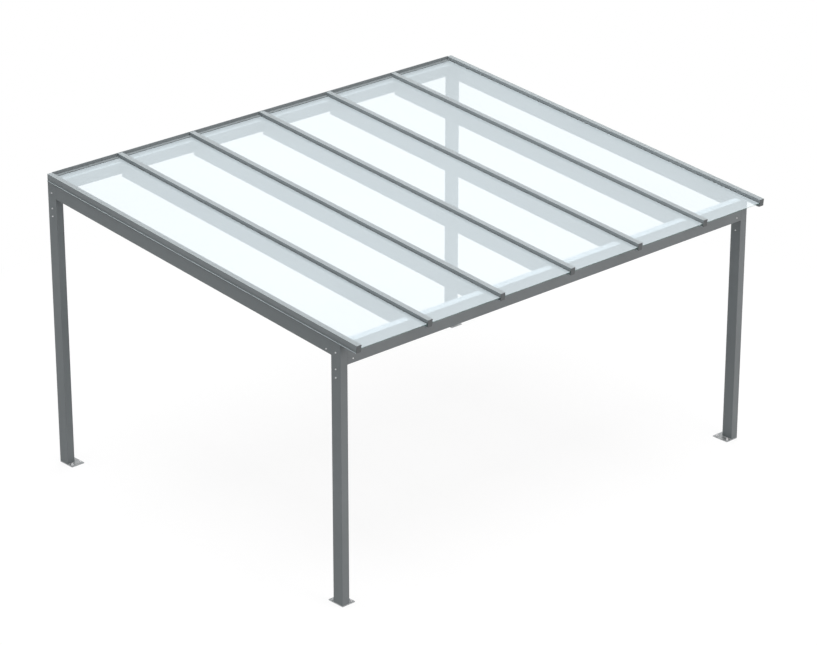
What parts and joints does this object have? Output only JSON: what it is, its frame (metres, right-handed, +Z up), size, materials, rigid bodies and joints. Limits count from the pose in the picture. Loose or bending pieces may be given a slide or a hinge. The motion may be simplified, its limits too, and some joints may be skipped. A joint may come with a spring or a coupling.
{
  "type": "glass pergola",
  "caption": "Free-standing pergola with a sloping glass roof on dark grey posts, beams and rafters, open on all sides.",
  "frame": {"origin": "on the ground, under the middle of the roof's plan", "axes": "+X along the front beam, +Y from the low front to the high rear, +Z up"},
  "size_m": [5.173, 4.273, 2.9452],
  "materials": {
    "painted_frame": "satin",
    "galvanised_plate": "satin",
    "painted_cap": "satin",
    "glass": "polished"
  },
  "bodies": {
    "root": {"post_front_left": "painted_frame", "post_front_right": "painted_frame", "post_rear_left": "painted_frame", "post_rear_right": "painted_frame", "base_plate_front_left": "galvanised_plate", "base_plate_front_right": "galvanised_plate", "base_plate_rear_left": "galvanised_plate", "base_plate_rear_right": "galvanised_plate", "front_beam": "painted_frame", "rear_beam": "painted_frame", "rafter_1": "painted_frame", "rafter_2": "painted_frame", "rafter_3": "painted_frame", "rafter_4": "painted_frame", "rafter_5": "painted_frame", "rafter_6": "painted_frame", "rafter_7": "painted_frame", "glazing_bar_1": "painted_frame", "glazing_bar_2": "painted_frame", "glazing_bar_3": "painted_frame", "glazing_bar_4": "painted_frame", "glazing_bar_5": "painted_frame", "glazing_bar_6": "painted_frame", "glazing_bar_7": "painted_frame", "clamping_cap_1": "painted_cap", "clamping_cap_2": "painted_cap", "clamping_cap_3": "painted_cap", "clamping_cap_4": "painted_cap", "clamping_cap_5": "painted_cap", "clamping_cap_6": "painted_cap", "clamping_cap_7": "painted_cap", "end_cap_1": "painted_cap", "end_cap_2": "painted_cap", "end_cap_3": "painted_cap", "end_cap_4": "painted_cap", "end_cap_5": "painted_cap", "end_cap_6": "painted_cap", "end_cap_7": "painted_cap", "glass_pane_1": "glass", "glass_pane_2": "glass", "glass_pane_3": "glass", "glass_pane_4": "glass", "glass_pane_5": "glass", "glass_pane_6": "glass", "rear_rail": "painted_frame"}
  },
  "joints": []
}
